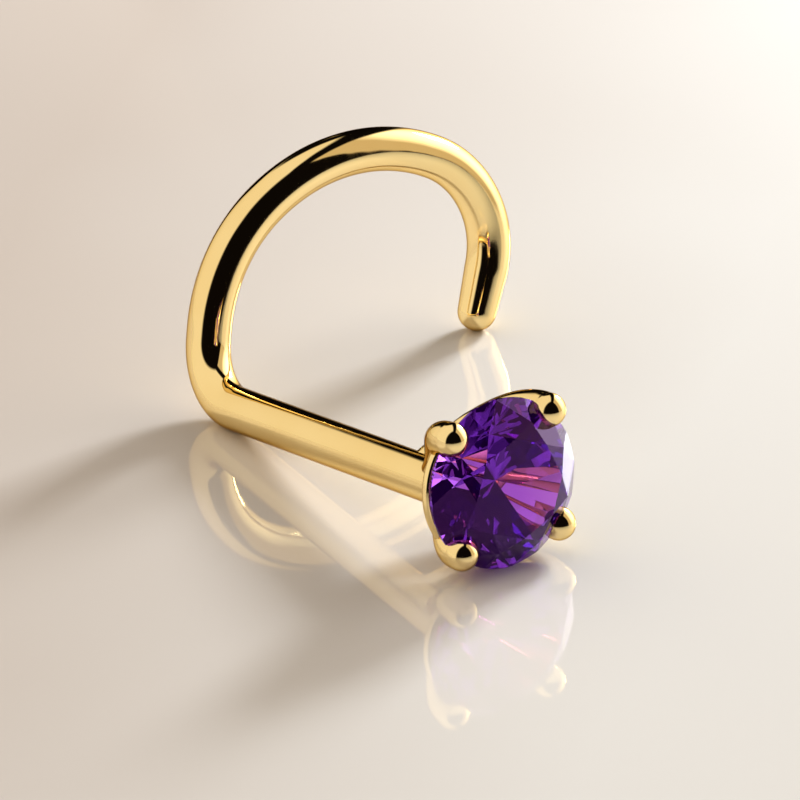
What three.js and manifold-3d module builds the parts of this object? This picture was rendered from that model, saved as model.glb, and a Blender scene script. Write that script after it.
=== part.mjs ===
// Nose screw: a straight gold post with a claw-set round stone at its front end and,
// behind a tight heel bend, a C-shaped hook of the same wire whose round tip comes back down.
//
// Millimetres, +Z up. The stone faces -Y and the hook opens towards +X. The screw lies as it
// would on a table: on its heel, on the tip of its hook and on the edge of its stone.
// The origin is the middle of the underside of the whole.

import * as THREE from 'three';
import { ConvexGeometry } from 'three/addons/geometries/ConvexGeometry.js';
import { mergeVertices } from 'three/addons/utils/BufferGeometryUtils.js';
import Module from 'manifold-3d';

// wire
const WIRE_DIAMETER = 0.81; // 20 gauge
const POST_LENGTH = 8.35; // from the corner at the heel to the plane of the girdle
const POST_RISE = 8; // degrees above the table
const HEEL_RADIUS = 1.1; // of the bend between post and hook, on the centreline
const HOOK_LEAN = 10.2; // degrees that the plane of the hook leans back
const HOOK_START = 76.4; // degrees above +X at which the hook leaves the heel
const HOOK_LEAD = 0.2; // straight wire between the heel bend and the first arc
const HOOK_ARCS = [
  { radius: 3.07, sweep: 46.7 },
  { radius: 3.78, sweep: 59.4 },
  { radius: 2.0, sweep: 44.8 },
  { radius: 1.77, sweep: 38.2 },
];
const TIP_DIAMETER = 0.72; // the last straight stretch is filed thinner

// stone, a round brilliant
const STONE_DIAMETER = 3.0;
const TABLE_DIAMETER = 0.6 * STONE_DIAMETER;
const CROWN_HEIGHT = 0.155 * STONE_DIAMETER;
const GIRDLE_HEIGHT = 0.025 * STONE_DIAMETER;
const PAVILION_DEPTH = 0.43 * STONE_DIAMETER;
const CROWN_BREAK = { diameter: 0.775 * STONE_DIAMETER, height: 0.092 * STONE_DIAMETER };
const PAVILION_BREAK = { diameter: 0.26 * STONE_DIAMETER, depth: 0.335 * STONE_DIAMETER };

// setting
const STONE_OFFSET = 0.63; // of the stone's axis to the +X side of the post's axis
const CLAW_COUNT = 4;
const CLAW_CIRCLE = { diameter: 2.91, x: -0.03, y: 0.06 }; // through the claw balls
const CLAW_BALL_DIAMETER = 0.6;
const CLAW_BALL_HEIGHT = 0.13; // of the ball's centre in front of the girdle
const CLAW_DIAMETER = 0.59;
const CLAW_SHOULDER = { radius: 1.5, depth: 0.45 }; // where a claw turns in behind the girdle
const NEAR_CLAW = { waist: { radius: 0.82, depth: 0.57 }, foot: 1.2 }; // on the post's side
const FAR_CLAW = { waist: { radius: 1.28, depth: 1.42 }, foot: 1.7 }; // passes under the point
const POST_END_DEPTH = 0.8; // of the front end of the post behind the girdle
const RAIL = { radius: 1.285, thickness: 0.21, depth: 0.34, x: -0.04, y: -0.06 };
const SEAT_GAP = 0.02; // between the stone and the metal that is cut to hold it

// smoothness
const WIRE_SIDES = 16;
const WIRE_STEPS = 92;
const CLAW_SIDES = 14;
const CLAW_STEPS = 12;

const wasm = await Module();
wasm.setup();

const radians = THREE.MathUtils.degToRad;

// ---- solids ---------------------------------------------------------------

function toSolid(geometry) {
  const bare = geometry.clone();
  bare.deleteAttribute('normal');
  bare.deleteAttribute('uv');
  const merged = mergeVertices(bare, 1e-5);
  const mesh = new wasm.Mesh({
    numProp: 3,
    vertProperties: new Float32Array(merged.attributes.position.array),
    triVerts: new Uint32Array(merged.index.array),
  });
  return new wasm.Manifold(mesh);
}

function toGeometry(solid) {
  const mesh = solid.getMesh();
  const geometry = new THREE.BufferGeometry();
  geometry.setAttribute('position', new THREE.BufferAttribute(mesh.vertProperties, 3));
  geometry.setIndex(new THREE.BufferAttribute(mesh.triVerts, 1));
  return geometry;
}

function tube(path, diameter, sides, steps) {
  const section = new THREE.Shape();
  section.absarc(0, 0, diameter / 2, 0, 2 * Math.PI);
  return new THREE.ExtrudeGeometry(section, {
    extrudePath: path,
    steps,
    curveSegments: sides / 2,
  });
}

// ---- wire -----------------------------------------------------------------

// A route made of straight and round stretches, walked by length. It starts where the turtle
// stands; each stretch carries its own position, heading and side.
class Route extends THREE.Curve {
  constructor(start, heading) {
    super();
    this.stretches = [];
    this.length = 0;
    this.end = { position: start.clone(), heading: heading.clone() };
  }

  // Adds a stretch that turns by `sweep` radians towards `side`, or runs straight at sweep 0.
  add(length, sweep, side) {
    const stretch = { ...this.end, from: this.length, length, sweep, side };
    this.stretches.push(stretch);
    this.length += length;
    this.end = {
      position: Route.along(stretch, length),
      heading: Route.turned(stretch, sweep),
    };
  }

  static turned({ heading, side }, angle) {
    const turned = heading.clone().multiplyScalar(Math.cos(angle));
    return side ? turned.addScaledVector(side, Math.sin(angle)) : turned;
  }

  static along(stretch, distance) {
    const { position, heading, side, length, sweep } = stretch;
    if (sweep === 0) return position.clone().addScaledVector(heading, distance);
    const radius = length / sweep;
    const angle = distance / radius;
    return position
      .clone()
      .addScaledVector(heading, radius * Math.sin(angle))
      .addScaledVector(side, radius * (1 - Math.cos(angle)));
  }

  getPoint(t, target = new THREE.Vector3()) {
    const distance = t * this.length;
    const last = this.stretches.length - 1;
    const stretch = this.stretches.find((s, i) => i === last || distance < s.from + s.length);
    return target.copy(Route.along(stretch, distance - stretch.from));
  }
}

// The part of `direction` that is square to the unit vector `to`, as a unit vector.
function squareTo(to, direction) {
  return direction.clone().addScaledVector(to, -direction.dot(to)).normalize();
}

// Unit vectors of the post (towards its front end) and of the hook's plane.
const postAxis = new THREE.Vector3(0, -Math.cos(radians(POST_RISE)), Math.sin(radians(POST_RISE)));
const hookAcross = new THREE.Vector3(1, 0, 0);
const hookUp = new THREE.Vector3(0, Math.sin(radians(HOOK_LEAN)), Math.cos(radians(HOOK_LEAN)));

function inHookPlane(degrees) {
  return new THREE.Vector3()
    .addScaledVector(hookAcross, Math.cos(radians(degrees)))
    .addScaledVector(hookUp, Math.sin(radians(degrees)));
}

// The wire without its tip, from the front end of the post to the end of the last arc.
// The corner at the heel, where post and hook would meet unbent, is at the origin.
function wireRoute() {
  const back = postAxis.clone().negate();
  const hookHeading = inHookPlane(HOOK_START);
  const heelTurn = back.angleTo(hookHeading);
  const heelCut = HEEL_RADIUS * Math.tan(heelTurn / 2);
  const postEnd = POST_LENGTH - POST_END_DEPTH;

  const route = new Route(postAxis.clone().multiplyScalar(postEnd), back);
  route.add(postEnd - heelCut, 0);
  route.add(HEEL_RADIUS * heelTurn, heelTurn, squareTo(back, hookHeading));
  route.add(HOOK_LEAD, 0);
  let heading = HOOK_START;
  for (const { radius, sweep } of HOOK_ARCS) {
    route.add(radius * radians(sweep), radians(sweep), inHookPlane(heading - 90));
    heading -= sweep;
  }
  return route;
}

// The filed tip: a slight cone with a round end, whose underside is at height `floor`.
function hookTip(route, floor) {
  const { position, heading } = route.end;
  const wireRadius = WIRE_DIAMETER / 2;
  const tipRadius = TIP_DIAMETER / 2;
  const length = (position.z - floor - tipRadius) / -heading.z;
  const overlap = 0.1;
  const profile = new THREE.Path();
  profile.moveTo(0, -overlap);
  profile.lineTo(wireRadius, -overlap);
  profile.lineTo(wireRadius, 0);
  profile.lineTo(tipRadius, length);
  profile.absarc(0, length, tipRadius, 0, Math.PI / 2);
  const geometry = new THREE.LatheGeometry(profile.getPoints(5), WIRE_SIDES);
  const turn = new THREE.Quaternion().setFromUnitVectors(new THREE.Vector3(0, 1, 0), heading);
  return geometry.applyQuaternion(turn).translate(position.x, position.y, position.z);
}

// ---- stone ----------------------------------------------------------------

function ring(count, diameter, height, turn) {
  return Array.from({ length: count }, (_, i) => {
    const angle = turn + (2 * Math.PI * i) / count;
    const radius = diameter / 2;
    return new THREE.Vector3(radius * Math.cos(angle), radius * Math.sin(angle), height);
  });
}

// The brilliant in its own frame: girdle round the origin, table towards +Z.
function stoneGeometry() {
  const eighth = Math.PI / 8;
  const half = GIRDLE_HEIGHT / 2;
  return new ConvexGeometry([
    ...ring(8, TABLE_DIAMETER, half + CROWN_HEIGHT, 0),
    ...ring(8, CROWN_BREAK.diameter, half + CROWN_BREAK.height, eighth),
    ...ring(32, STONE_DIAMETER, half, 0),
    ...ring(32, STONE_DIAMETER, -half, 0),
    ...ring(8, PAVILION_BREAK.diameter, -half - PAVILION_BREAK.depth, 0),
    new THREE.Vector3(0, 0, -half - PAVILION_DEPTH),
  ]);
}

// ---- setting, in the stone's frame ----------------------------------------

// A claw leaves the front of the post, sweeps out round the stone and ends in a ball. The post
// stands to one side of the stone, so the claws on its own side are short and lie close under
// the stone, and the others are long and pass under its point.
function claw(angle, postCentre) {
  const out = new THREE.Vector3(Math.cos(angle), Math.sin(angle), 0);
  const circle = new THREE.Vector3(CLAW_CIRCLE.x, CLAW_CIRCLE.y, 0);
  const at = (radius, depth) => out.clone().multiplyScalar(radius).setZ(-depth);
  const { waist, foot } = postCentre.dot(out) > 0 ? NEAR_CLAW : FAR_CLAW;
  const ballCentre = at(CLAW_CIRCLE.diameter / 2, -CLAW_BALL_HEIGHT).add(circle);
  const bend = new THREE.CubicBezierCurve3(
    ballCentre,
    at(CLAW_SHOULDER.radius, CLAW_SHOULDER.depth).add(circle),
    at(waist.radius, waist.depth),
    postCentre.clone().setZ(-foot),
  );
  const arm = toSolid(tube(bend, CLAW_DIAMETER, CLAW_SIDES, CLAW_STEPS));
  const ball = new THREE.SphereGeometry(CLAW_BALL_DIAMETER / 2, 18, 12);
  ball.translate(ballCentre.x, ballCentre.y, ballCentre.z);
  return arm.add(toSolid(ball));
}

// The rail behind the girdle ties the claws together, a little low and towards the post.
function rail() {
  const geometry = new THREE.TorusGeometry(RAIL.radius, RAIL.thickness / 2, 10, 48);
  geometry.translate(RAIL.x, RAIL.y, -RAIL.depth);
  return toSolid(geometry);
}

function setting(postCentre) {
  let metal = rail();
  for (let i = 0; i < CLAW_COUNT; i++) {
    metal = metal.add(claw(((i + 0.5) * 2 * Math.PI) / CLAW_COUNT, postCentre));
  }
  return metal;
}

// ---- assembly -------------------------------------------------------------

function lowest(geometry) {
  geometry.computeBoundingBox();
  return geometry.boundingBox.min.z;
}

const route = wireRoute();
const wire = tube(route, WIRE_DIAMETER, WIRE_SIDES, WIRE_STEPS);
const table = lowest(wire); // height of the table top under the heel
const tip = hookTip(route, table);

// The stone's frame: its axis is parallel to the post's, and its height is such that the
// girdle touches the table. stoneRise is how far the stone's axis lies above the post's.
const facing = new THREE.Matrix4().makeRotationX(radians(90 - POST_RISE));
const girdleOnPost = postAxis.clone().multiplyScalar(POST_LENGTH);
const stoneHeight = table - lowest(stoneGeometry().applyMatrix4(facing));
const stoneRise = (stoneHeight - girdleOnPost.z) / Math.cos(radians(POST_RISE));
const postCentre = new THREE.Vector3(-STONE_OFFSET, -stoneRise, 0);

const stoneSeat = new THREE.Matrix4().makeTranslation(
  girdleOnPost.x + STONE_OFFSET,
  girdleOnPost.y + stoneRise * Math.sin(radians(POST_RISE)),
  stoneHeight,
);
stoneSeat.multiply(facing);

// The seat of the stone is cut through the claws, the rail and the front of the post.
const seat = stoneGeometry()
  .scale(
    1 + (2 * SEAT_GAP) / STONE_DIAMETER,
    1 + (2 * SEAT_GAP) / STONE_DIAMETER,
    1 + SEAT_GAP / CROWN_HEIGHT,
  )
  .applyMatrix4(stoneSeat);
const basket = toGeometry(setting(postCentre)).applyMatrix4(stoneSeat);
const metal = toSolid(wire).add(toSolid(tip)).add(toSolid(basket)).subtract(toSolid(seat));

function named(name, geometry, colour, roughness, metalness) {
  const material = new THREE.MeshStandardMaterial({ color: colour, roughness, metalness });
  const mesh = new THREE.Mesh(geometry, material);
  mesh.name = name;
  return mesh;
}

const gold = named('gold_nose_screw', toGeometry(metal), 0xe8c070, 0.12, 1);
const stone = named('round_stone', stoneGeometry().applyMatrix4(stoneSeat), 0x5a1488, 0.03, 0);

const screw = new THREE.Group();
screw.add(gold, stone);
const box = new THREE.Box3().setFromObject(screw);
const middle = box.getCenter(new THREE.Vector3());
screw.position.set(-middle.x, -middle.y, -box.min.z);
screw.updateMatrixWorld(true);

export default screw;
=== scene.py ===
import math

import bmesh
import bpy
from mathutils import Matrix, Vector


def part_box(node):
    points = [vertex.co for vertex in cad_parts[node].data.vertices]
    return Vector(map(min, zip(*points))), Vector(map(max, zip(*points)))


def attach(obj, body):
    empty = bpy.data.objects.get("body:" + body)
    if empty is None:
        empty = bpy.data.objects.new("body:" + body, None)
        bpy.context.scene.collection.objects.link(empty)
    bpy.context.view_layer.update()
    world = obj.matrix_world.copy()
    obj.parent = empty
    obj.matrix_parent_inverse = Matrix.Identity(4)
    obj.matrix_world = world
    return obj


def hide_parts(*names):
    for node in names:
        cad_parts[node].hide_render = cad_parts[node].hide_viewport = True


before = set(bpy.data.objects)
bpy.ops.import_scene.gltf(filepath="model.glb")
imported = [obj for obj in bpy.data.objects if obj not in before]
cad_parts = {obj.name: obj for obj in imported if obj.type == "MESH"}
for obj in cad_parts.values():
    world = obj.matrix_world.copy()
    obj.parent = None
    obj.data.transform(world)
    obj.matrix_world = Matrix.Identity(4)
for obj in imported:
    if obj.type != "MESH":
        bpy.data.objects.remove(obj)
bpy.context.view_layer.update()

# A gold nose screw with a claw-set round amethyst, lying on a glossy pale table.
#
# Sizes are in millimetres until a mesh is finished. The maker's origin is the corner of the heel,
# on the wire's centreline: the post runs towards -Y, the hook opens towards +X, and +Z is up.

MM = 0.001  # metres

# wire; angles are in degrees
WIRE_DIAMETER = 0.81
POST_LENGTH = 8.35  # from the corner at the heel to the plane of the girdle
POST_RISE = 8.0  # above the table
HEEL_RADIUS = 1.1
HOOK_LEAN = 10.2  # of the hook's plane, backwards
HOOK_START = 76.4  # above +X, where the hook leaves the heel
HOOK_LEAD = 0.2  # straight wire between the heel and the first arc
HOOK_ARCS = (
    {"radius": 3.07, "sweep": 46.7},
    {"radius": 3.78, "sweep": 59.4},
    {"radius": 2.0, "sweep": 44.8},
    {"radius": 1.77, "sweep": 38.2},
)
TIP_DIAMETER = 0.72
TIP_RINGS = 16  # in the round end of the tip
TIP_PINPOINT = 0.004  # share of the tip's radius left at the very end
WIRE_STEP = 0.08
WIRE_SIDES = 72

# stone
STONE_DIAMETER = 3.0
TABLE_DIAMETER = 0.6 * STONE_DIAMETER
CROWN_HEIGHT = 0.155 * STONE_DIAMETER
GIRDLE_HEIGHT = 0.025 * STONE_DIAMETER
PAVILION_DEPTH = 0.43 * STONE_DIAMETER
CROWN_BREAK = 0.775 * STONE_DIAMETER / 2  # radius at which kites and upper halves meet
PAVILION_BREAK = 0.26 * STONE_DIAMETER / 2  # radius at which the lower halves end
ROUGH_SIDES = 128
CUT_TOLERANCE = 1e-5

# setting; depths are behind the girdle
STONE_OFFSET = 0.63  # of the stone's axis to the +X side of the post's axis
CLAW_COUNT = 4
CLAW_CIRCLE = 2.91  # diameter of the circle through the claw balls
CLAW_CIRCLE_CENTRE = Vector((-0.03, 0.06, 0))
CLAW_BALL_DIAMETER = 0.6
CLAW_BALL_HEIGHT = 0.13  # in front of the girdle
CLAW_BALL_SEGMENTS = 56
CLAW_DIAMETER = 0.59
CLAW_SHOULDER = {"radius": 1.5, "depth": 0.45}  # where a claw turns in
NEAR_CLAW = {"waist": {"radius": 0.82, "depth": 0.57}, "foot": 1.2}  # on the post's side
FAR_CLAW = {"waist": {"radius": 1.28, "depth": 1.42}, "foot": 1.7}  # passes under the point
CLAW_STEPS = 40
CLAW_SIDES = 48
POST_END_DEPTH = 0.8
RAIL_RADIUS = 1.285
RAIL_THICKNESS = 0.21
RAIL_CENTRE = Vector((-0.04, -0.06, -0.34))
RAIL_STEPS = 128
RAIL_SIDES = 32
SEAT_GAP = 0.004  # between the stone and the metal cut to hold it
WELD_DISTANCE = 0.0005
CREASE_ANGLE = math.radians(32)  # edges bent more than this stay sharp

# finishes; a colour is linear red, green and blue, with 1 for its alpha
NOISE_MIDDLE = (0.35, 0.65)  # most of a noise's values lie between these
GOLD_TONES = ((0.92, 0.71, 0.33, 1), (0.94, 0.74, 0.36, 1))
GOLD_EDGE_TINT = (0.48, 0.36, 0.24, 1)
GOLD_WEAR = {"low": 0.35, "high": 0.7, "to_low": 0.035, "to_high": 0.075}  # to roughness
GOLD_RIPPLE = 0.004
AMETHYST_TONES = ((0.56, 0.20, 0.86, 1), (0.66, 0.30, 0.92, 1))
AMETHYST_SHEEN = (0.28, 0.08, 0.45, 1)
# painted glow: the stone gives off a faint violet light of its own, standing in for light that fills
# its dark inside
AMETHYST_PAINTED_GLOW = (0.3, 0.02, 0.55, 1)
AMETHYST_PAINTED_GLOW_STRENGTH = 0.01
AMETHYST_DEPTH = (0.46, 0.035, 0.82, 1)
AMETHYST_DENSITY = 600.0  # to the metre
AMETHYST_INDEX = 2.1  # of refraction, livelier than quartz has
# painted light and shade on the table top: a shaded tone and a lit tone, mixed along a slope, stand
# in for the key light's pool falling off
TABLETOP_PAINTED_SHADE_AND_LIGHT_TONES = ((0.73, 0.64, 0.58, 1), (0.93, 0.905, 0.885, 1))
TABLETOP_PAINTED_LIGHT_WAY = Vector((0.70, -0.71, 0))  # the way in which the painted light grows, from the painted shade tone to the lit tone
TABLETOP_PAINTED_LIGHT_SPAN = (-10.0, 4.0)  # between these places along that way
TABLETOP_PAINTED_LIGHT_DRIFT = 4.0  # of those places from patch to patch
# painted shade: far from the middle the table top turns nearly black
TABLETOP_PAINTED_SHADE_FAR_TONE = (0.16, 0.15, 0.15, 1)
TABLETOP_PAINTED_SHADE_FAR = (24.0, 48.0)  # from the middle, where the painted shade of the far table takes over
TABLETOP_ROUGHNESS = 0.03
TABLETOP_INDEX = 1.95
TABLETOP_RIPPLE = 0.002
TABLETOP_REACH = 1.5  # metres


def radians(*angles):
    return [math.radians(angle) for angle in angles]


# ---- route of the wire ------------------------------------------------------

rise, lean = radians(POST_RISE, HOOK_LEAN)
POST_AXIS = Vector((0, -math.cos(rise), math.sin(rise)))
HOOK_ACROSS = Vector((1, 0, 0))
HOOK_UP = Vector((0, math.sin(lean), math.cos(lean)))


def in_hook_plane(degrees):
    """Unit vector in the leaning plane of the hook, at an angle above +X."""
    angle = math.radians(degrees)
    return HOOK_ACROSS * math.cos(angle) + HOOK_UP * math.sin(angle)


def square_to(to, direction):
    """The part of a direction that is at a right angle to another, as a unit vector."""
    return (direction - to * direction.dot(to)).normalized()


class Route:
    """Points along a wire, walked in straight and round stretches."""

    def __init__(self, start, heading):
        self.points = [start.copy()]
        self.heading = heading.copy()

    def straight(self, length):
        steps = max(1, round(length / WIRE_STEP))
        start = self.points[-1]
        self.points += [start + self.heading * (length * i / steps) for i in range(1, steps + 1)]

    def bend(self, radius, angle, side):
        steps = max(2, round(radius * angle / WIRE_STEP))
        start, ahead = self.points[-1], self.heading
        for i in range(1, steps + 1):
            turn = angle * i / steps
            self.points.append(
                start + ahead * (radius * math.sin(turn)) + side * (radius * (1 - math.cos(turn)))
            )
        self.heading = ahead * math.cos(angle) + side * math.sin(angle)


def wire_route():
    """The points of the wire's centreline, from the front end of the post to the last arc's end."""
    back = -POST_AXIS
    hook_heading = in_hook_plane(HOOK_START)
    heel_turn = back.angle(hook_heading)
    heel_cut = HEEL_RADIUS * math.tan(heel_turn / 2)
    post_end = POST_LENGTH - POST_END_DEPTH
    route = Route(POST_AXIS * post_end, back)
    route.straight(post_end - heel_cut)
    route.bend(HEEL_RADIUS, heel_turn, square_to(back, hook_heading))
    route.straight(HOOK_LEAD)
    heading = HOOK_START
    for arc in HOOK_ARCS:
        route.bend(arc["radius"], math.radians(arc["sweep"]), in_hook_plane(heading - 90))
        heading -= arc["sweep"]
    return route


def rounded_wire(route, table_top):
    """Points and radii of the wire, with the filed and rounded tip at its far end."""
    points = list(route.points)
    radii = [WIRE_DIAMETER / 2] * len(points)
    tip_radius = TIP_DIAMETER / 2
    start, heading = points[-1], route.heading
    length = (start.z - table_top - tip_radius) / -heading.z
    steps = round(length / WIRE_STEP)
    for i in range(1, steps + 1):
        share = i / steps
        points.append(start + heading * (length * share))
        radii.append(WIRE_DIAMETER / 2 + (tip_radius - WIRE_DIAMETER / 2) * share)
    centre = points[-1]
    for i in range(1, TIP_RINGS + 1):
        angle = math.pi / 2 * i / TIP_RINGS
        points.append(centre + heading * (tip_radius * math.sin(angle)))
        radii.append(tip_radius * max(math.cos(angle), TIP_PINPOINT))
    return points, radii


# ---- geometry nodes ---------------------------------------------------------


class ShapeTree:
    """A geometry node tree with named inputs, which ends in Realize Instances and Set Material."""

    def __init__(self, name):
        self.group = bpy.data.node_groups.new(name, "GeometryNodeTree")
        for way in ("INPUT", "OUTPUT"):
            self.group.interface.new_socket("Geometry", in_out=way, socket_type="NodeSocketGeometry")
        self.source = self.group.nodes.new("NodeGroupInput")
        self.geometry = self.source.outputs["Geometry"]
        self.identifiers = {}

    def value(self, name, kind="Float"):
        """Adds a named input and returns its socket."""
        socket = self.group.interface.new_socket(
            name, in_out="INPUT", socket_type=f"NodeSocket{kind}"
        )
        self.identifiers[name] = socket.identifier
        return self.source.outputs[name]

    def node(self, kind, settings=None, **inputs):
        """Adds a node and returns its first output. A list goes to a socket that takes several."""
        node = self.group.nodes.new(kind)
        for key, setting in (settings or {}).items():
            setattr(node, key, setting)
        for key, given in inputs.items():
            socket = node.inputs[key.replace("_", " ")]
            for one in given if isinstance(given, list) else [given]:
                if isinstance(one, bpy.types.NodeSocket):
                    self.group.links.new(one, socket)
                else:
                    socket.default_value = one
        return node.outputs[0]

    def end(self, geometry):
        """Dresses the geometry in the material input and makes it the tree's result."""
        material = self.value("Material", "Material")
        realized = self.node("GeometryNodeRealizeInstances", Geometry=geometry)
        dressed = self.node("GeometryNodeSetMaterial", Geometry=realized, Material=material)
        out = self.group.nodes.new("NodeGroupOutput")
        self.group.links.new(dressed, out.inputs[0])
        return self


def round_rod(tree, curve, sides):
    """Nodes for a round rod along a curve, as thick as the curve's radius."""
    section = tree.node("GeometryNodeCurvePrimitiveCircle", Resolution=sides, Radius=1.0)
    radius = tree.node("GeometryNodeInputRadius")
    return tree.node(
        "GeometryNodeCurveToMesh", Curve=curve, Profile_Curve=section, Scale=radius, Fill_Caps=True
    )


def rod_tree():
    """Round rod along each curve, as thick as the curve's radius, with closed ends."""
    tree = ShapeTree("round rod")
    sides = tree.value("Sides", "Int")
    return tree.end(round_rod(tree, tree.geometry, sides))


def claw_tree():
    """Round rod along each curve, with a ball on its first point."""
    tree = ShapeTree("claws with ball ends")
    sides = tree.value("Sides", "Int")
    ball_radius = tree.value("Ball Radius")
    rods = round_rod(tree, tree.geometry, sides)
    ball = tree.node(
        "GeometryNodeMeshUVSphere",
        Segments=CLAW_BALL_SEGMENTS,
        Rings=CLAW_BALL_SEGMENTS // 2,
        Radius=ball_radius,
    )
    balls = tree.node(
        "GeometryNodeInstanceOnPoints",
        Points=tree.geometry,
        Selection=tree.node("GeometryNodeCurveEndpointSelection", Start_Size=1, End_Size=0),
        Instance=ball,
    )
    return tree.end(tree.node("GeometryNodeJoinGeometry", Geometry=[rods, balls]))


def solder_tree():
    """Joins overlapping solids into one and cuts the seat of the stone out of it."""
    tree = ShapeTree("soldered and seated")
    seat = tree.value("Seat", "Object")
    crease = tree.value("Crease Angle")
    cutter = tree.node("GeometryNodeObjectInfo", {"transform_space": "ORIGINAL"}, Object=seat)
    soldered = tree.node(
        "GeometryNodeMeshBoolean",
        {"operation": "UNION", "solver": "EXACT"},
        Mesh_2=tree.geometry,
        Self_Intersection=True,
    )
    seated = tree.node(
        "GeometryNodeMeshBoolean",
        {"operation": "DIFFERENCE", "solver": "EXACT"},
        Mesh_1=soldered,
        Mesh_2=cutter.node.outputs["Geometry"],
    )
    welded = tree.node("GeometryNodeMergeByDistance", Geometry=seated, Distance=WELD_DISTANCE)
    smooth = tree.node("GeometryNodeSetShadeSmooth", Geometry=welded)
    bent_less = tree.node(
        "FunctionNodeCompare",
        {"data_type": "FLOAT", "operation": "LESS_THAN"},
        A=tree.node("GeometryNodeInputMeshEdgeAngle"),
        B=crease,
    )
    creased = tree.node(
        "GeometryNodeSetShadeSmooth",
        {"domain": "EDGE"},
        Geometry=smooth,
        Shade_Smooth=bent_less,
    )
    return tree.end(creased)


def made_with(tree, source, name, **inputs):
    """Runs a tree on an object and returns the result as a plain mesh object."""
    modifier = source.modifiers.new("shape", "NODES")
    modifier.node_group = tree.group
    for key, given in inputs.items():
        modifier[tree.identifiers[key.replace("_", " ")]] = given
    bpy.context.view_layer.update()
    evaluated = source.evaluated_get(bpy.context.evaluated_depsgraph_get())
    mesh = bpy.data.meshes.new_from_object(evaluated)
    mesh.name = name
    bpy.data.objects.remove(source)
    return mesh_object(name, mesh)


# ---- objects ----------------------------------------------------------------


def mesh_object(name, mesh):
    made = bpy.data.objects.new(name, mesh)
    bpy.context.scene.collection.objects.link(made)
    return made


def curve_object(name, lines):
    """A curve object of straight-stepped lines, each a list of points and a list of radii."""
    curve = bpy.data.curves.new(name, "CURVE")
    curve.dimensions = "3D"
    for points, radii in lines:
        spline = curve.splines.new("POLY")
        spline.points.add(len(points) - 1)
        for target, point, radius in zip(spline.points, points, radii):
            target.co = (*point, 1)
            target.radius = radius
    return mesh_object(name, curve)


def joined(name, objects):
    """One mesh object of several, which are removed."""
    shape = bmesh.new()
    for one in objects:
        shape.from_mesh(one.data)
    mesh = bpy.data.meshes.new(name)
    shape.to_mesh(mesh)
    shape.free()
    for one in objects:
        bpy.data.objects.remove(one)
    return mesh_object(name, mesh)


# ---- stone ------------------------------------------------------------------


def around(radius, height, eighths):
    """A point round the stone's axis, counted in eighths of a turn."""
    angle = (eighths + 0.5) * math.pi / 4
    return Vector((radius * math.cos(angle), radius * math.sin(angle), height))


def facet_planes():
    """Three points of each facet: the crown from the table down, then the pavilion."""
    outer, table_radius = STONE_DIAMETER / 2, TABLE_DIAMETER / 2
    upper = GIRDLE_HEIGHT / 2
    table_height = upper + CROWN_HEIGHT
    crown_slope = CROWN_HEIGHT / (outer - table_radius)
    pavilion_slope = PAVILION_DEPTH / outer
    flat = math.cos(math.pi / 8)  # how far out the sides of an octagon are, to its corners' 1
    crown_height = upper + (outer - CROWN_BREAK * flat) * crown_slope
    pavilion_height = -upper - (outer - PAVILION_BREAK * flat) * pavilion_slope
    culet = Vector((0, 0, -upper - PAVILION_DEPTH))
    yield [around(table_radius, table_height, eighths) for eighths in (0, 3, 5)]
    for k in range(8):
        last_corner, corner = (around(table_radius, table_height, k + side) for side in (-0.5, 0.5))
        left, right = (around(CROWN_BREAK, crown_height, k + side) for side in (0, 1))
        foot = around(outer, upper, k + 0.5)
        yield left, foot, corner  # kite
        yield last_corner, left, corner  # star
        yield left, around(outer, upper, k), foot  # upper halves
        yield around(outer, upper, k + 1), right, foot
        low_left, low_right = (around(PAVILION_BREAK, pavilion_height, k + side) for side in (0, 1))
        below = around(outer, -upper, k + 0.5)
        yield below, low_left, culet  # pavilion main
        yield below, around(outer, -upper, k), low_left  # lower halves
        yield around(outer, -upper, k + 1), below, low_right


def cut_stone(name, scale):
    """A round rough with every facet cut on it, table towards +Z and girdle round the origin."""
    shape = bmesh.new()
    bmesh.ops.create_cone(
        shape,
        cap_ends=True,
        segments=ROUGH_SIDES,
        radius1=STONE_DIAMETER / 2,
        radius2=STONE_DIAMETER / 2,
        depth=2 * STONE_DIAMETER,
    )
    for first, second, third in facet_planes():
        normal = (second - first).cross(third - first).normalized()
        if normal.dot(first) < 0:
            normal.negate()
        geometry = shape.verts[:] + shape.edges[:] + shape.faces[:]
        cut = bmesh.ops.bisect_plane(
            shape,
            geom=geometry,
            dist=CUT_TOLERANCE,
            plane_co=first,
            plane_no=normal,
            clear_outer=True,
        )
        rim = [e for e in cut["geom_cut"] if isinstance(e, bmesh.types.BMEdge)]
        bmesh.ops.edgeloop_fill(shape, edges=rim)
    bmesh.ops.remove_doubles(shape, verts=shape.verts, dist=CUT_TOLERANCE)
    bmesh.ops.recalc_face_normals(shape, faces=shape.faces)
    bmesh.ops.scale(shape, vec=(scale, scale, scale), verts=shape.verts)
    mesh = bpy.data.meshes.new(name)
    shape.to_mesh(mesh)
    shape.free()
    return mesh_object(name, mesh)


# ---- setting, in the stone's frame -------------------------------------------


def along_bend(start, pull, second_pull, end, share):
    """A point on the smooth bend from start to end that two more points pull into shape."""
    rest = 1 - share
    return (
        start * rest**3
        + pull * (3 * rest * rest * share)
        + second_pull * (3 * rest * share * share)
        + end * share**3
    )


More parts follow.
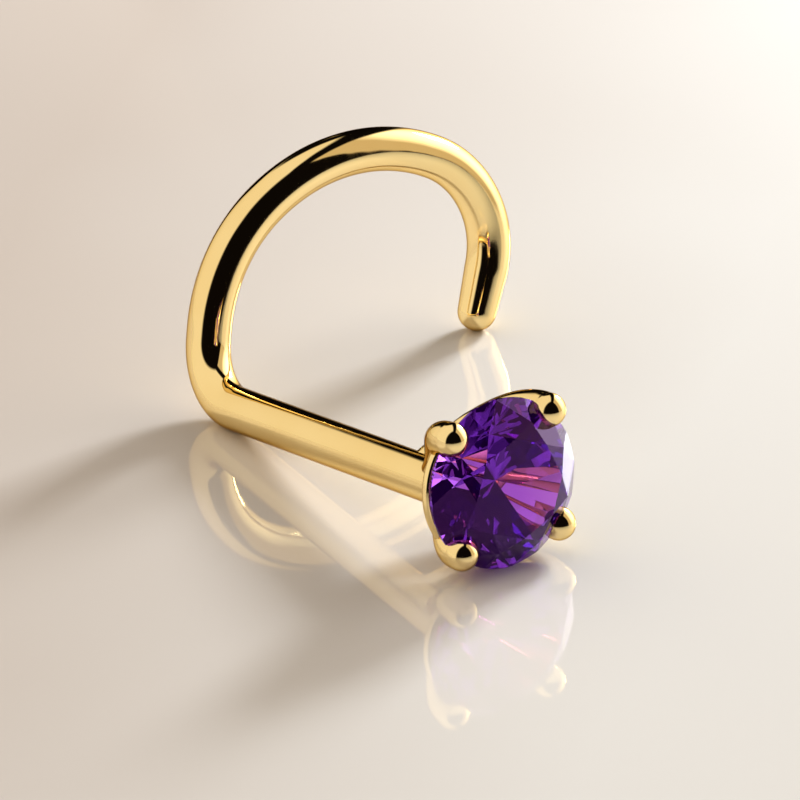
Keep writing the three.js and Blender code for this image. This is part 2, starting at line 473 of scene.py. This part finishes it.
def claw_line(angle, post_centre):
    """A claw from the centre of its ball back to the post: points and radii."""
    out = Vector((math.cos(angle), math.sin(angle), 0))
    claw = NEAR_CLAW if post_centre.dot(out) > 0 else FAR_CLAW

    def at(radius, depth):
        return out * radius - Vector((0, 0, depth))

    bend = (
        at(CLAW_CIRCLE / 2, -CLAW_BALL_HEIGHT) + CLAW_CIRCLE_CENTRE,
        at(**CLAW_SHOULDER) + CLAW_CIRCLE_CENTRE,
        at(**claw["waist"]),
        post_centre - Vector((0, 0, claw["foot"])),
    )
    points = [along_bend(*bend, i / CLAW_STEPS) for i in range(CLAW_STEPS + 1)]
    return points, [CLAW_DIAMETER / 2] * len(points)


def rail_line():
    """The ring under the stone, without its closing point: points and radii."""
    points = [RAIL_CENTRE + around(RAIL_RADIUS, 0, 8 * i / RAIL_STEPS) for i in range(RAIL_STEPS)]
    return points, [RAIL_THICKNESS / 2] * len(points)


# ---- making the screw ---------------------------------------------------------

route = wire_route()
ground = min(point.z for point in route.points) - WIRE_DIAMETER / 2
stone = cut_stone("amethyst_brilliant", 1)
seat_cutter = cut_stone("seat cutter", 1 + SEAT_GAP / (STONE_DIAMETER / 2))

# the stone's frame: its axis is parallel to the post's and its girdle touches the table top
facing = Matrix.Rotation(math.radians(90 - POST_RISE), 4, "X")
stone.data.transform(facing)
girdle_on_post = POST_AXIS * POST_LENGTH
stone_height = ground - min(vertex.co.z for vertex in stone.data.vertices)
stone_rise = (stone_height - girdle_on_post.z) / math.cos(rise)
post_centre = Vector((-STONE_OFFSET, -stone_rise, 0))
stone_centre = Vector(
    (STONE_OFFSET, girdle_on_post.y + stone_rise * math.sin(rise), stone_height)
)
stone_seat = Matrix.Translation(stone_centre) @ facing
stone.data.transform(Matrix.Translation(stone_centre))
seat_cutter.data.transform(stone_seat)


def placed(line):
    """A line of the setting, moved from the stone's frame to its place on the post."""
    points, radii = line
    return [stone_seat @ point for point in points], radii


wire = made_with(
    rod_tree(), curve_object("wire", [rounded_wire(route, ground)]), "wire", Sides=WIRE_SIDES
)
claw_turns = [(k + 0.5) / CLAW_COUNT for k in range(CLAW_COUNT)]
claws = made_with(
    claw_tree(),
    curve_object("claws", [placed(claw_line(math.tau * turn, post_centre)) for turn in claw_turns]),
    "claws",
    Sides=CLAW_SIDES,
    Ball_Radius=CLAW_BALL_DIAMETER / 2,
)
rail_curve = curve_object("rail", [placed(rail_line())])
rail_curve.data.splines[0].use_cyclic_u = True
rail = made_with(rod_tree(), rail_curve, "rail", Sides=RAIL_SIDES)

# ---- finishes -----------------------------------------------------------------


class Term:
    """A socket that can stand in an expression; every operation adds a Math node."""

    def __init__(self, finish, socket):
        self.finish = finish
        self.socket = socket

    def maths(self, operation, first, second):
        return self.finish.node(
            "ShaderNodeMath", {"operation": operation}, Value=first, Value_001=second
        )

    def __add__(self, other):
        return self.maths("ADD", self, other)

    def __radd__(self, other):
        return self.maths("ADD", other, self)

    def __sub__(self, other):
        return self.maths("SUBTRACT", self, other)

    def __rsub__(self, other):
        return self.maths("SUBTRACT", other, self)

    def __mul__(self, other):
        return self.maths("MULTIPLY", self, other)

    def __rmul__(self, other):
        return self.maths("MULTIPLY", other, self)

    def at_least(self, other):
        """The larger of the two."""
        return self.maths("MAXIMUM", self, other)


class Finish:
    """A material or the room's light, built up node by node."""

    def __init__(self, holder, end="ShaderNodeOutputMaterial"):
        self.holder = holder
        holder.use_nodes = True
        self.tree = holder.node_tree
        self.tree.nodes.clear()
        self.last = self.tree.nodes.new(end)

    def node(self, kind, settings=None, output=0, **inputs):
        """Adds a node and returns one of its outputs. Inputs go by socket name or identifier."""
        node = self.tree.nodes.new(kind)
        for key, setting in (settings or {}).items():
            setattr(node, key, setting)
        for key, given in inputs.items():
            name = key.replace("_", " ")
            socket = next(s for s in node.inputs if key == s.identifier or name == s.name)
            if isinstance(given, Term):
                self.tree.links.new(given.socket, socket)
            else:
                socket.default_value = given
        return Term(self, node.outputs[output])

    def place(self):
        """Object coordinates in millimetres."""
        metres = self.node("ShaderNodeTexCoord", output="Object")
        return self.node(
            "ShaderNodeVectorMath", {"operation": "SCALE"}, Vector=metres, Scale=1 / MM
        )

    def noise(self, place, scale, detail=1.0):
        """Soft noise round 0.5, with a number of patches to the millimetre."""
        return self.node("ShaderNodeTexNoise", Vector=place, Scale=scale, Detail=detail)

    def along(self, place, direction):
        """How far a place lies along a direction."""
        return self.node(
            "ShaderNodeVectorMath",
            {"operation": "DOT_PRODUCT"},
            output="Value",
            Vector=place,
            Vector_001=direction,
        )

    def span(self, value, low, high, to_low=0.0, to_high=1.0):
        """Maps a value from one span to another, and holds it there."""
        return self.node(
            "ShaderNodeMapRange",
            Value=value,
            From_Min=low,
            From_Max=high,
            To_Min=to_low,
            To_Max=to_high,
        )

    def mix(self, share, first, second):
        """A colour between two, all first at 0 and all second at 1."""
        return self.node(
            "ShaderNodeMix",
            {"data_type": "RGBA"},
            output=2,
            Factor_Float=share,
            A_Color=first,
            B_Color=second,
        )

    def bump(self, height, depth):
        """A bump of a height from 0 to 1, at a depth in millimetres."""
        return self.node("ShaderNodeBump", Height=height, Distance=depth * MM)

    def surface(self, **inputs):
        shader = self.node("ShaderNodeBsdfPrincipled", **inputs)
        return self.end(Surface=shader)

    def end(self, **outputs):
        for key, shader in outputs.items():
            self.tree.links.new(shader.socket, self.last.inputs[key])
        return self.holder


def polished_gold():
    gold = Finish(bpy.data.materials.new("polished gold"))
    place = gold.place()
    cloud = gold.noise(place, 0.8, detail=2.0)
    wear = gold.noise(place, 14.0, detail=5.0)
    return gold.surface(
        Base_Color=gold.mix(gold.span(cloud, *NOISE_MIDDLE), *GOLD_TONES),
        Metallic=1.0,
        Specular_Tint=GOLD_EDGE_TINT,
        Roughness=gold.span(wear, **GOLD_WEAR),
        Normal=gold.bump(gold.noise(place, 1.6), GOLD_RIPPLE),
    )


def cut_amethyst():
    stone = Finish(bpy.data.materials.new("cut amethyst"))
    zone = stone.noise(stone.place(), 0.7)
    glass = stone.node(
        "ShaderNodeBsdfPrincipled",
        Base_Color=stone.mix(stone.span(zone, *NOISE_MIDDLE), *AMETHYST_TONES),
        Roughness=0.0,
        IOR=AMETHYST_INDEX,
        Specular_Tint=AMETHYST_SHEEN,
        # painted glow: faint violet light given off by the stone itself
        Emission_Color=AMETHYST_PAINTED_GLOW,
        Emission_Strength=AMETHYST_PAINTED_GLOW_STRENGTH,
        Transmission_Weight=1.0,
    )
    depth = stone.node(
        "ShaderNodeVolumeAbsorption", Color=AMETHYST_DEPTH, Density=AMETHYST_DENSITY
    )
    return stone.end(Surface=glass, Volume=depth)


def pale_tabletop():
    top = Finish(bpy.data.materials.new("pale gloss table"))
    place = top.place()
    # painted light and shade: the tone runs from painted shade to lit along a slope, whose place
    # drifts with this noise
    patches = top.noise(place, 0.12)
    painted_light = top.along(place, TABLETOP_PAINTED_LIGHT_WAY) + (patches - 0.5) * TABLETOP_PAINTED_LIGHT_DRIFT
    painted_light_tone = top.mix(top.span(painted_light, *TABLETOP_PAINTED_LIGHT_SPAN), *TABLETOP_PAINTED_SHADE_AND_LIGHT_TONES)
    # painted shade: far from the middle the table top turns nearly black
    away = top.node("ShaderNodeVectorMath", {"operation": "LENGTH"}, output="Value", Vector=place)
    return top.surface(
        Base_Color=top.mix(top.span(away, *TABLETOP_PAINTED_SHADE_FAR), painted_light_tone, TABLETOP_PAINTED_SHADE_FAR_TONE),
        Roughness=TABLETOP_ROUGHNESS,
        IOR=TABLETOP_INDEX,
        Normal=top.bump(top.noise(place, 0.35), TABLETOP_RIPPLE),
    )


# ---- pieces ---------------------------------------------------------------------

metal = made_with(
    solder_tree(),
    joined("metal", [wire, claws, rail]),
    "gold_screw",
    Seat=seat_cutter,
    Crease_Angle=CREASE_ANGLE,
    Material=polished_gold(),
)
bpy.data.objects.remove(seat_cutter)
stone.data.materials.append(cut_amethyst())

# the frame's origin is elsewhere: the shift is the one that brings the stone to its place there
low_corner = Vector([min(vertex.co[i] for vertex in stone.data.vertices) for i in range(3)])
to_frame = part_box("round_stone")[0] - low_corner * MM
frame_place = Matrix.Translation(to_frame) @ Matrix.Diagonal((MM, MM, MM, 1))
for piece in (metal, stone):
    piece.data.transform(frame_place)
    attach(piece, "root")
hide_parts("gold_nose_screw")
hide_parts("round_stone")

# ---- studio -----------------------------------------------------------------------

top = bmesh.new()
bmesh.ops.create_grid(top, x_segments=1, y_segments=1, size=TABLETOP_REACH)
top_mesh = bpy.data.meshes.new("table top")
top.to_mesh(top_mesh)
top.free()
table_top = mesh_object("table_top", top_mesh)
top_mesh.materials.append(pale_tabletop())


def turned_back(azimuth, elevation):
    """Unit vector from the object towards a camera or lamp that stands at these angles."""
    a, e = radians(azimuth, elevation)
    return Vector((math.sin(a) * math.cos(e), -math.cos(a) * math.cos(e), math.sin(e)))


# the camera's angles are in degrees and its lens in millimetres
CAMERA_AZIMUTH = -35.1
CAMERA_ELEVATION = 24.36
CAMERA_ROLL = -0.53
CAMERA_DISTANCE = 130
CAMERA_OFFSET = (3.523, 0.187)  # to the right of and above the heel
CAMERA_LENS = 325.3
CAMERA_SENSOR = 36
CAMERA_CLEARANCE = 5

back = turned_back(CAMERA_AZIMUTH, CAMERA_ELEVATION)
turn, roll = radians(CAMERA_AZIMUTH, CAMERA_ROLL)
across = Vector((math.cos(turn), math.sin(turn), 0))
view = Matrix((across, back.cross(across), back)).transposed() @ Matrix.Rotation(roll, 3, "Z")
stand = view @ Vector((*CAMERA_OFFSET, CAMERA_DISTANCE))
camera = bpy.data.objects.new("camera", bpy.data.cameras.new("camera"))
bpy.context.scene.collection.objects.link(camera)
under_heel = Vector((to_frame.x, to_frame.y, 0))
camera.matrix_world = Matrix.Translation(under_heel + stand * MM) @ view.to_4x4()
camera.data.sensor_width = CAMERA_SENSOR
camera.data.lens = CAMERA_LENS
camera.data.clip_start = CAMERA_CLEARANCE * MM
bpy.context.scene.camera = camera


KEY_LAMP = {
    "azimuth": 110,
    "elevation": 23,
    "distance": 0.11,  # metres, as its size is
    "size": 0.024,
    "power": 0.15,
    "tint": (0.90, 0.96, 1.0),
}


def softbox(name, azimuth, elevation, distance, size, power, tint):
    """A square lamp that faces the origin and isn't seen itself."""
    lamp = bpy.data.lights.new(name, "AREA")
    lamp.shape = "SQUARE"
    lamp.size = size
    lamp.energy = power
    lamp.color = tint
    stand = bpy.data.objects.new(name, lamp)
    bpy.context.scene.collection.objects.link(stand)
    away = turned_back(azimuth, elevation)
    stand.location = away * distance
    stand.rotation_mode = "QUATERNION"
    stand.rotation_quaternion = away.to_track_quat("Z", "Y")
    stand.visible_camera = False


softbox("key", **KEY_LAMP)

TENT_LIGHT = (1.0, 0.90, 0.76, 1)
TENT_DARK = (0.004, 0.003, 0.003, 1)
WINDOW_DIM = (0.72, 0.58, 0.40, 1)
WINDOW_BRIGHT = (3.0, 2.9, 2.7, 1)
WINDOW_EDGE = math.radians(33)
SLANT = Vector((-0.752, 0.534, 0.384))

# parts of the room, each on the far side of a plane and fading in from start to full
ROOM_PARTS = {
    "front": {"towards": Vector((0.05, -1, 0.04)), "start": 0.20, "full": 0.32},
    "tent": {"towards": SLANT, "start": 0.17, "full": 0.23},
    "beside window": {"towards": SLANT, "start": -0.12, "full": -0.06},
    "right of edge": {
        "towards": Vector((math.cos(WINDOW_EDGE), math.sin(WINDOW_EDGE), 0)),
        "start": -0.005,
        "full": 0.02,
    },
    "bright spot": {"towards": turned_back(100, 12), "start": 0.68, "full": 0.97},
    "flag": {"towards": turned_back(153, 32), "start": 0.958, "full": 0.982},
    "high": {"towards": Vector((0, 0, 1)), "start": 0.38, "full": 0.46},
    "back": {"towards": Vector((0, 1, 0)), "start": 0.80, "full": 0.84},
    "right": {"towards": Vector((1, 0, 0)), "start": 0.0, "full": 0.1},
}


def studio_room():
    """A warm white tent with a dark front and, at the right, a bright window in a dark surround."""
    room = Finish(bpy.data.worlds.new("studio room"), "ShaderNodeOutputWorld")
    look = room.node("ShaderNodeTexCoord", output="Generated")
    part = {
        name: room.span(room.along(look, plane["towards"]), plane["start"], plane["full"])
        for name, plane in ROOM_PARTS.items()
    }
    low_strip = (1 - part["high"]) * part["back"] * part["right"]
    dark = (1 - part["tent"]).at_least(part["front"]).at_least(low_strip).at_least(part["flag"])
    tent = room.mix(dark, TENT_LIGHT, TENT_DARK)
    window = part["right of edge"] * (1 - part["beside window"])
    lit = room.mix(part["bright spot"], WINDOW_DIM, WINDOW_BRIGHT)
    return room.end(
        Surface=room.node("ShaderNodeBackground", Color=room.mix(window, tent, lit))
    )


bpy.context.scene.world = studio_room()
bpy.context.scene.view_settings.view_transform = "Standard"
